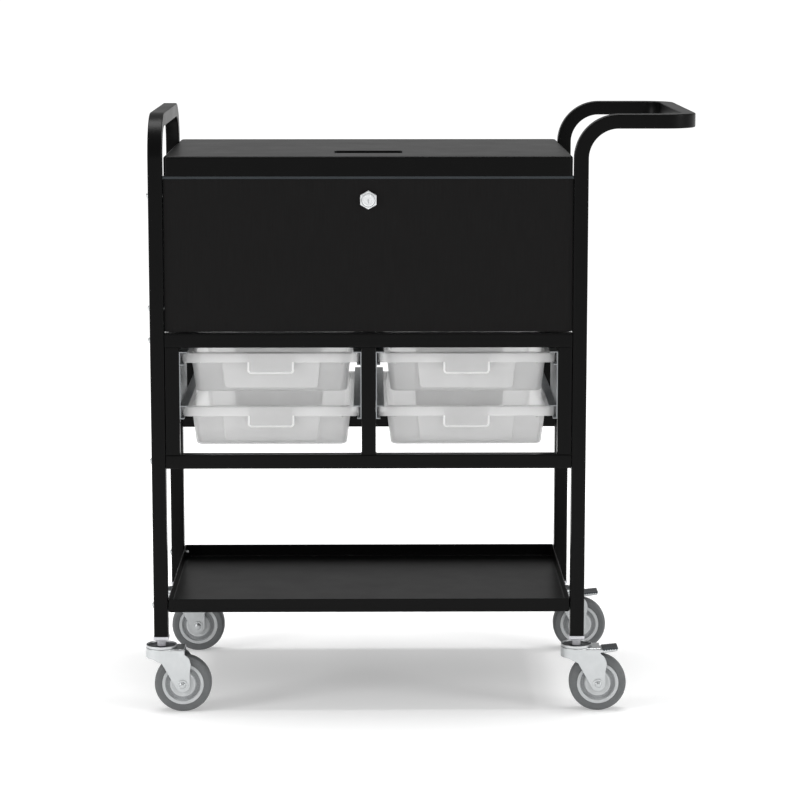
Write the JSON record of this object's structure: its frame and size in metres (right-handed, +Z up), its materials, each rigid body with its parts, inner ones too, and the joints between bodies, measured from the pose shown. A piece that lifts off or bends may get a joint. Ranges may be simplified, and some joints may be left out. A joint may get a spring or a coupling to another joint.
{
  "type": "tool cart",
  "caption": "Tube-framed tool cart with a lockable lidded cabinet, sliding clear trays, an open lipped shelf, a push handle and braked swivel casters.",
  "frame": {"origin": "on the floor, under the middle of the whole cart", "axes": "+X towards the push handle, +Y towards the back, +Z up; the trays open towards -Y"},
  "size_m": [0.9714, 0.4966, 1.0637],
  "materials": {
    "black_powder_coat": "satin black powder coat with a fine orange peel",
    "black_laminate": "black laminate with a fine upright grain",
    "zinc_plate": "bright zinc-plated pressed steel",
    "dark_steel": "dark blued steel",
    "chrome_plate": "polished chrome plate",
    "clear_plastic": "moulded translucent polypropylene",
    "grey_rubber": "matt grey non-marking rubber",
    "grey_nylon": "moulded grey nylon"
  },
  "bodies": {
    "cart_frame": {"left_hoop_frame": "black_powder_coat", "right_handle_frame": "black_powder_coat", "cabinet_upper_bolt": "zinc_plate", "cabinet_lower_bolt": "zinc_plate", "tray_unit_upper_bolt": "zinc_plate", "tray_unit_lower_bolt": "zinc_plate", "shelf_bolt": "zinc_plate", "shelf_rear_bolt": "zinc_plate", "cabinet_left_side": "black_powder_coat", "cabinet_right_side": "black_powder_coat", "cabinet_back_panel": "black_powder_coat", "cabinet_floor": "black_powder_coat", "cabinet_front_panel": "black_laminate", "cabinet_top_rim": "dark_steel", "hinge_fixed_leaf": "dark_steel", "hinge_pin": "zinc_plate", "lock_body": "chrome_plate", "tray_unit_front_frame": "black_powder_coat", "tray_unit_rear_frame": "black_powder_coat", "left_bay_left_runner": "zinc_plate", "left_bay_right_runner": "zinc_plate", "right_bay_left_runner": "zinc_plate", "right_bay_right_runner": "zinc_plate", "bottom_shelf": "black_powder_coat", "front_left_caster_stem": "zinc_plate", "front_right_caster_stem": "zinc_plate", "rear_left_caster_stem": "zinc_plate", "rear_right_caster_stem": "zinc_plate"},
    "lid": {"lid": "black_powder_coat", "lid_pull_dish": "black_powder_coat", "lid_catch": "zinc_plate", "hinge_lid_leaf": "dark_steel"},
    "lock_cylinder": {"lock_plug": "chrome_plate", "lock_cam": "zinc_plate"},
    "left_lower_tray": {"left_lower_tray": "clear_plastic"},
    "left_upper_tray": {"left_upper_tray": "clear_plastic"},
    "right_lower_tray": {"right_lower_tray": "clear_plastic"},
    "right_upper_tray": {"right_upper_tray": "clear_plastic"},
    "front_left_swivel": {"front_left_fork": "zinc_plate", "front_left_swivel_cap": "dark_steel", "front_left_axle": "zinc_plate"},
    "front_left_wheel": {"front_left_wheel_hub": "grey_nylon", "front_left_tyre": "grey_rubber"},
    "front_right_swivel": {"front_right_fork": "zinc_plate", "front_right_swivel_cap": "dark_steel", "front_right_axle": "zinc_plate"},
    "front_right_wheel": {"front_right_wheel_hub": "grey_nylon", "front_right_tyre": "grey_rubber"},
    "rear_left_swivel": {"rear_left_fork": "zinc_plate", "rear_left_swivel_cap": "dark_steel", "rear_left_axle": "zinc_plate"},
    "rear_left_wheel": {"rear_left_wheel_hub": "grey_nylon", "rear_left_tyre": "grey_rubber"},
    "rear_right_swivel": {"rear_right_fork": "zinc_plate", "rear_right_swivel_cap": "dark_steel", "rear_right_axle": "zinc_plate"},
    "rear_right_wheel": {"rear_right_wheel_hub": "grey_nylon", "rear_right_tyre": "grey_rubber"},
    "front_right_brake": {"front_right_brake_pedal": "dark_steel"},
    "rear_right_brake": {"rear_right_brake_pedal": "dark_steel"}
  },
  "joints": [
    {"name": "lid_hinge", "type": "hinge", "parent": "cart_frame", "child": "lid", "pos_m": [-0.08725, 0.228, 0.9522], "axis": [-1, 0, 0], "range_deg": [0, 95]},
    {"name": "lock_turn", "type": "hinge", "parent": "cart_frame", "child": "lock_cylinder", "pos_m": [-0.08725, -0.2275, 0.9155], "axis": [0, 1, 0], "range_deg": [0, 90]},
    {"name": "left_lower_tray_slide", "type": "slide", "parent": "cart_frame", "child": "left_lower_tray", "axis": [0, -1, 0], "range_m": [0, 0.32]},
    {"name": "left_upper_tray_slide", "type": "slide", "parent": "cart_frame", "child": "left_upper_tray", "axis": [0, -1, 0], "range_m": [0, 0.32]},
    {"name": "right_lower_tray_slide", "type": "slide", "parent": "cart_frame", "child": "right_lower_tray", "axis": [0, -1, 0], "range_m": [0, 0.32]},
    {"name": "right_upper_tray_slide", "type": "slide", "parent": "cart_frame", "child": "right_upper_tray", "axis": [0, -1, 0], "range_m": [0, 0.32]},
    {"name": "front_left_swivel", "type": "hinge", "parent": "cart_frame", "child": "front_left_swivel", "pos_m": [-0.45775, -0.22, 0.1165], "axis": [0, 0, 1], "continuous": true},
    {"name": "front_left_roll", "type": "hinge", "parent": "front_left_swivel", "child": "front_left_wheel", "pos_m": [-0.41975, -0.22, 0.051], "axis": [0, 1, 0], "continuous": true},
    {"name": "front_right_swivel", "type": "hinge", "parent": "cart_frame", "child": "front_right_swivel", "pos_m": [0.28325, -0.22, 0.1165], "axis": [0, 0, 1], "continuous": true},
    {"name": "front_right_roll", "type": "hinge", "parent": "front_right_swivel", "child": "front_right_wheel", "pos_m": [0.32125, -0.22, 0.051], "axis": [0, 1, 0], "continuous": true},
    {"name": "rear_left_swivel", "type": "hinge", "parent": "cart_frame", "child": "rear_left_swivel", "pos_m": [-0.45775, 0.22, 0.1165], "axis": [0, 0, 1], "continuous": true},
    {"name": "rear_left_roll", "type": "hinge", "parent": "rear_left_swivel", "child": "rear_left_wheel", "pos_m": [-0.41975, 0.22, 0.051], "axis": [0, 1, 0], "continuous": true},
    {"name": "rear_right_swivel", "type": "hinge", "parent": "cart_frame", "child": "rear_right_swivel", "pos_m": [0.28325, 0.22, 0.1165], "axis": [0, 0, 1], "continuous": true},
    {"name": "rear_right_roll", "type": "hinge", "parent": "rear_right_swivel", "child": "rear_right_wheel", "pos_m": [0.32125, 0.22, 0.051], "axis": [0, 1, 0], "continuous": true},
    {"name": "front_right_brake_press", "type": "hinge", "parent": "front_right_swivel", "child": "front_right_brake", "pos_m": [0.31725, -0.22, 0.11], "axis": [0, 1, 0], "range_deg": [0, 15]},
    {"name": "rear_right_brake_press", "type": "hinge", "parent": "rear_right_swivel", "child": "rear_right_brake", "pos_m": [0.31725, 0.22, 0.11], "axis": [0, 1, 0], "range_deg": [0, 15]}
  ]
}
